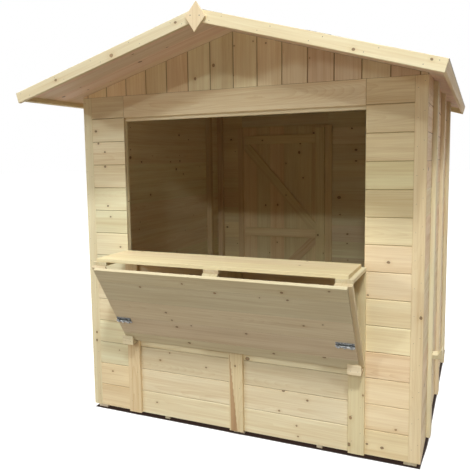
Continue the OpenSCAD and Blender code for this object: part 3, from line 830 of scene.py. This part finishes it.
def felt_shapes():
    """Outlines of the lower course, the upper course that laps it and half the ridge strip."""
    # Faces of the first, second and third layer, and where the ridge cuts each
    faces = [ROOF_T, ROOF_T + FELT_T, ROOF_T + 2 * FELT_T]
    tops = [-face * math.tan(PITCH) for face in faces]
    step = FELT_LAP - FELT_BEND
    lower = ((FELT_LAP, faces[0]), (SLOPE_L, faces[0]), (SLOPE_L, faces[1]), (FELT_LAP, faces[1]))
    upper = ((tops[0], faces[0]), (step, faces[0]), (FELT_LAP, faces[1]), (FELT_EDGE, faces[1]),
             (FELT_EDGE, faces[2]), (step, faces[2]), (step - FELT_BEND, faces[1]),
             (tops[1], faces[1]))
    strip = ((tops[1], faces[1]), (RIDGE_STRIP, faces[1]), (RIDGE_STRIP, faces[2]),
             (tops[2], faces[2]))
    return [[Vector(p) for p in shape] for shape in (lower, upper, strip)]


for name, side in (("left", -1), ("right", 1)):
    down, up = Vector((side * math.cos(PITCH), 0, -math.sin(PITCH))), slope_up(side)

    low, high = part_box(name + "_roof_deck")
    piece = Piece(name + "_roof_deck.boards", wild=0.25)
    across = up.cross(down)
    width = (high.y - low.y) / DECK_BOARDS
    for k in range(DECK_BOARDS):
        y = low.y + width * (k if across.y > 0 else k + 1)
        piece.board(RIDGE + y * Y, down, across, (DECK_L, width, ROOF_T), starts=RIDGE_CUT)
    piece.make("stall", name + "_roof_deck")

    for end, out in (("front", -Y), ("back", Y)):
        node = "%s_%s_barge" % (name, end)
        low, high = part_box(node)
        across = out.cross(down)
        foot = RIDGE + (ROOF_T - BARGE_W if across.dot(up) > 0 else ROOF_T) * up
        foot.y = high.y if out.y < 0 else low.y
        thick = high.y - low.y - (0.0 if end == "front" else HEAD_ROOM)
        piece = Piece(node + ".board", wild=0.05)
        piece.board(foot, down, across, (SLOPE_L, BARGE_W, thick), arris=ARRIS, starts=RIDGE_CUT)
        piece.make("stall", node)
        for u in every(0.125, 0.245, 5):
            for w in (0.006, -0.022):
                point = RIDGE + (u + 2 * w) * down + w * up + foot.y * Y + thick * out
                nails.head(point, out, 0.0018)

    low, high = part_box(name + "_eave_board")
    along = -side * Y
    start = RIDGE + DECK_L * down + ROOF_T * up
    start.y = high.y if side > 0 else low.y
    piece = Piece(name + "_eave_board.board")
    piece.board(start, along, -up, (high.y - low.y, EAVE_W, EAVE_T), arris=ARRIS)
    piece.make("stall", name + "_eave_board")

    low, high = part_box(name + "_roof_felt")
    piece = Piece(name + "_roof_felt.courses")
    start = RIDGE + (high.y if side > 0 else low.y) * Y
    for shape in felt_shapes():
        piece.prism(start, along, down, shape, high.y - low.y, lip=0.0004)
    piece.make("stall", name + "_roof_felt", slot="roofing_felt", material=FELT)

    heads = Piece(name + "_felt_nails")
    rows = ((SLOPE_L - 0.025, 1), (FELT_EDGE - 0.02, 2), (RIDGE_STRIP - 0.02, 2))
    places = [(u, y, layers) for y in every(low.y + 0.05, 0.1003, 25) for u, layers in rows]
    places += [(u, y, 2 if FELT_LAP < u < FELT_EDGE else 1)
               for u in every(0.2, 0.1, 10) for y in (low.y + 0.02, high.y - 0.02)]
    for u, y, layers in places:
        heads.head(RIDGE + u * down + (ROOF_T + layers * FELT_T) * up + y * Y, up, *TACK)
    heads.make_steel("stall", ZINC)

# The lozenge over the joint of the barge boards
low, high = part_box("ridge_lozenge")
TURN = math.radians(-4)
HALF_W, HALF_H = 0.0525, 0.07
LOZENGE_T = high.y - low.y - HEAD_ROOM
middle = Vector(((low.x + high.x) / 2, high.y, (low.z + high.z) / 2))
outline = [Vector((-(x * math.cos(TURN) + z * math.sin(TURN)),
                   z * math.cos(TURN) - x * math.sin(TURN)))
           for x, z in ((0, -HALF_H), (-HALF_W, 0), (0, HALF_H), (HALF_W, 0))]
piece = Piece("ridge_lozenge.block", wild=0.0)
piece.prism(middle, -Y, -X, outline, LOZENGE_T, step=1.0, turned=True, end_shade=0.0)
piece.make("stall", "ridge_lozenge")
for x, z in ((-0.0235, 0.0075), (0.0235, 0.0025)):
    nails.head(middle + Vector((x, -LOZENGE_T, z)), -Y)

# Nails in the corner boards and the front battens
NAIL_Z = 0.095
for z in every(NAIL_Z, COURSE, 14):
    for side in (-1, 1):
        for x, lift in ((0.955, 0.0), (0.985, 0.03)):
            for face, out in ((FRONT, -Y), (BACK, Y)):
                nails.head(Vector((side * x, face, z + lift)), out, BRAD, 0.0003)
for low, high in solids("front_battens"):
    for z in every(NAIL_Z, COURSE, 3):
        nails.head(Vector((low.x + 0.02, low.y, z)), -Y, BRAD)
        nails.head(Vector((high.x - 0.02, low.y, z + 0.05)), -Y, BRAD)
nails.make_steel("stall", NAIL)
door_nails.make_steel("door", NAIL)

# Screws in the ironwork, and the knob of each slide bolt: radius, height and sides of the heads
SCREW, BOLT_SCREW, KNOB = (0.0042, 0.0012, 12), (0.003, 0.001, 10), (0.005, 0.009, 12)
IRON_T = 0.004
BOLT_UP = 0.182
screws, door_screws = Piece("hinge_plate_screws"), Piece("door_screws")
bolt_screws = Piece("flap_bolt_screws")
for low, high in solids("hinge_plates"):
    if high.x - low.x > 0.03:
        for z in (0.018, 0.092):
            for x in (0.010, 0.031):
                screws.head(Vector((low.x + x, BACK + IRON_T, low.z + z)), Y, *SCREW)
for low, high in solids("hinge_straps"):
    for x in every(0.06, 0.07, 4):
        door_screws.head(Vector((low.x + x, BACK + IRON_T, (low.z + high.z) / 2)), Y, *SCREW)
for side in (-1, 1):
    end = side * (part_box("flap_bolts")[1].x - 0.0475)
    for x in (-0.033, 0.0, 0.033):
        for w in (-0.014, 0.014):
            bolt_screws.head(on_flap(end + x, BOLT_UP + w, 0.003), FLAP_OUT, *BOLT_SCREW)
    bolt_screws.head(on_flap(end, BOLT_UP, 0.0135), FLAP_OUT, *KNOB)
screws.make_steel("stall", ZINC)
door_screws.make_steel("door", ZINC)
bolt_screws.make_steel("stall", ZINC)

for node in ("flap_bolts", "door_handle", "hinge_straps", "hinge_plates"):
    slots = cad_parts[node].data.materials
    slots.clear()
    slots.append(ZINC)

# Floor: glowing white to the camera, with painted shade where the stall closes it in, and a duller
# source of bounced light. A painted shadow, near black, covers the ground under the stall and
# between the side battens.
FLOOR_HALF = 60
mesh = bpy.data.meshes.new("studio_floor")
corners = [(x * FLOOR_HALF, y * FLOOR_HALF, 0) for x, y in ((-1, -1), (1, -1), (1, 1), (-1, 1))]
mesh.from_pydata(corners, [], [(0, 1, 2, 3)])
ground = bpy.data.objects.new("studio_floor", mesh)
bpy.context.scene.collection.objects.link(ground)

low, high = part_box("front_lower_wall")[0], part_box("back_threshold")[1]
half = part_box("right_wall")[1].x
half_beside = half + 0.6 * (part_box("side_battens")[1].x - half)
deep, centre = (high.y - low.y) / 2, (high.y + low.y) / 2
first_batten = min(a.y for a, b in solids("side_battens"))

s = Shader(bpy.data.materials.new("studio_floor"))
x, y = s.split(s.place("Object"))[:2]
from_side = s.math("ABSOLUTE", x)
from_ends = s.minus(deep, s.math("ABSOLUTE", s.minus(y, centre)))
under = s.math("MINIMUM", s.minus(half, from_side), from_ends)
reach = s.ramp(y, low.y, first_batten, half, half_beside)
beside = s.math("MINIMUM", s.minus(reach, from_side), from_ends)
# clear is 1 outside the painted shadow and falls to near 0 inside it
clear = s.math("MINIMUM", s.ramp(under, -0.004, 0.012, 1.0, 0.0),
               s.ramp(beside, -0.003, 0.004, 1.0, 0.015))
# Painted contact shade: the glow dims where the floor is closed in and close to the stall, rising
# to plain white further out
painted_occlusion = s.node("ShaderNodeAmbientOcclusion", {"Distance": 0.12}, samples=16).outputs["AO"]
level = s.mul(s.ramp(painted_occlusion, 0.2, 0.8, 0.72, 1.0), s.ramp(s.hypot(x, y), 1.6, 5.0, 0.84, 1.0))
glow = s.node("ShaderNodeEmission", {
    "Color": s.mix(clear, (0.036, 0.022, 0.017, 1), s.grey(level)), "Strength": 1.0})
lit = s.node("ShaderNodeBsdfDiffuse", {"Color": s.grey(s.mul(clear, 0.5))})
near = s.node("ShaderNodeAddShader", {0: lit.outputs[0], 1: glow.outputs[0]})
bounce = s.node("ShaderNodeBsdfDiffuse", {"Color": (0.25, 0.21, 0.175, 1)})
mesh.materials.append(s.close(s.by_sight(bounce.outputs[0], near.outputs[0])))

# Surroundings: white to the camera, and a warm hall that is darker on the right
s = Shader(bpy.data.worlds.new("studio"))
fade = s.ramp(s.split(s.place("Generated"))[0], -0.2, 0.9, 0.37, 0.15, "LINEAR")
hall = s.node("ShaderNodeBackground", {0: (1.0, 0.77, 0.62, 1), 1: fade})
white = s.node("ShaderNodeBackground", {0: (1, 1, 1, 1), 1: 1.0})
bpy.context.scene.world = s.close(s.by_sight(hall.outputs[0], white.outputs[0]))


def lamp(name, azimuth, elevation, distance, size, share, height, colour=(1.0, 0.99, 0.98)):
    """An area lamp, azimuth degrees right of the front and elevation above the horizon, aimed at
    the front wall's middle line. share is the part of a white wall's full brightness that it gives
    a wall that faces it."""
    a, e = math.radians(azimuth), math.radians(elevation)
    way = Vector((math.sin(a) * math.cos(e), -math.cos(a) * math.cos(e), math.sin(e)))
    data = bpy.data.lights.new(name, "AREA")
    data.shape = "RECTANGLE"
    data.size, data.size_y = size
    data.energy = share * (math.pi * distance) ** 2
    data.color = colour
    made = bpy.data.objects.new(name, data)
    bpy.context.scene.collection.objects.link(made)
    made.location = Vector((0, FRONT, height)) + distance * way
    made.rotation_euler = (-way).to_track_quat("-Z", "Y").to_euler()


lamp("key", 26, 52.5, 11.0, (1.2, 1.2), 0.68, 1.7, (0.91, 0.97, 1.0))
lamp("low", 13, 20, 14.0, (0.9, 0.5), 0.12, 1.9, (0.92, 1.0, 0.97))
lamp("low_left", -40, 14, 14.0, (1.2, 0.8), 0.155, 1.9, (0.88, 1.0, 1.0))
lamp("middle", 5, 28, 14.0, (1.6, 1.0), 0.08, 1.9, (0.88, 1.0, 1.0))
lamp("top_left", -15, 50, 10.0, (4.0, 4.0), 0.09, 1.7)
lamp("right", 75, 25, 9.0, (5.0, 4.0), 0.03, 1.2)
lamp("left_side", -97, 35, 9.0, (4.0, 4.0), 0.45, 1.2)
lamp("back", 165, 38, 9.0, (5.0, 4.0), 0.5, 1.2)

# Camera, as solved from the straight edges in the photo: place, angles in radians, and the focal
# length and the middle of the view in pixels
EYE = Vector((1.2336, -3.7491, 1.5772))
YAW, TIP, ROLL = -0.4260, -0.1065, -0.0162
PIXELS, FOCAL, MIDDLE_X, MIDDLE_Y = 470, 577.34, 218.44, 221.74
SENSOR = 36
ahead = Vector((math.sin(YAW) * math.cos(TIP), math.cos(YAW) * math.cos(TIP), math.sin(TIP)))
level_right = Vector((math.cos(YAW), -math.sin(YAW), 0))
level_up = level_right.cross(ahead)
right = math.cos(ROLL) * level_right + math.sin(ROLL) * level_up
upward = -math.sin(ROLL) * level_right + math.cos(ROLL) * level_up
camera = bpy.data.objects.new("camera", bpy.data.cameras.new("camera"))
bpy.context.scene.collection.objects.link(camera)
bpy.context.scene.camera = camera
turn = Matrix((right, upward, -ahead)).transposed().to_4x4()
camera.matrix_world = Matrix.Translation(EYE) @ turn
camera.data.sensor_width = SENSOR
camera.data.lens = FOCAL / PIXELS * SENSOR
camera.data.shift_x = (PIXELS / 2 - MIDDLE_X) / PIXELS
camera.data.shift_y = (MIDDLE_Y - PIXELS / 2) / PIXELS
camera.data.clip_end = 200

bpy.context.scene.view_settings.view_transform = "Standard"
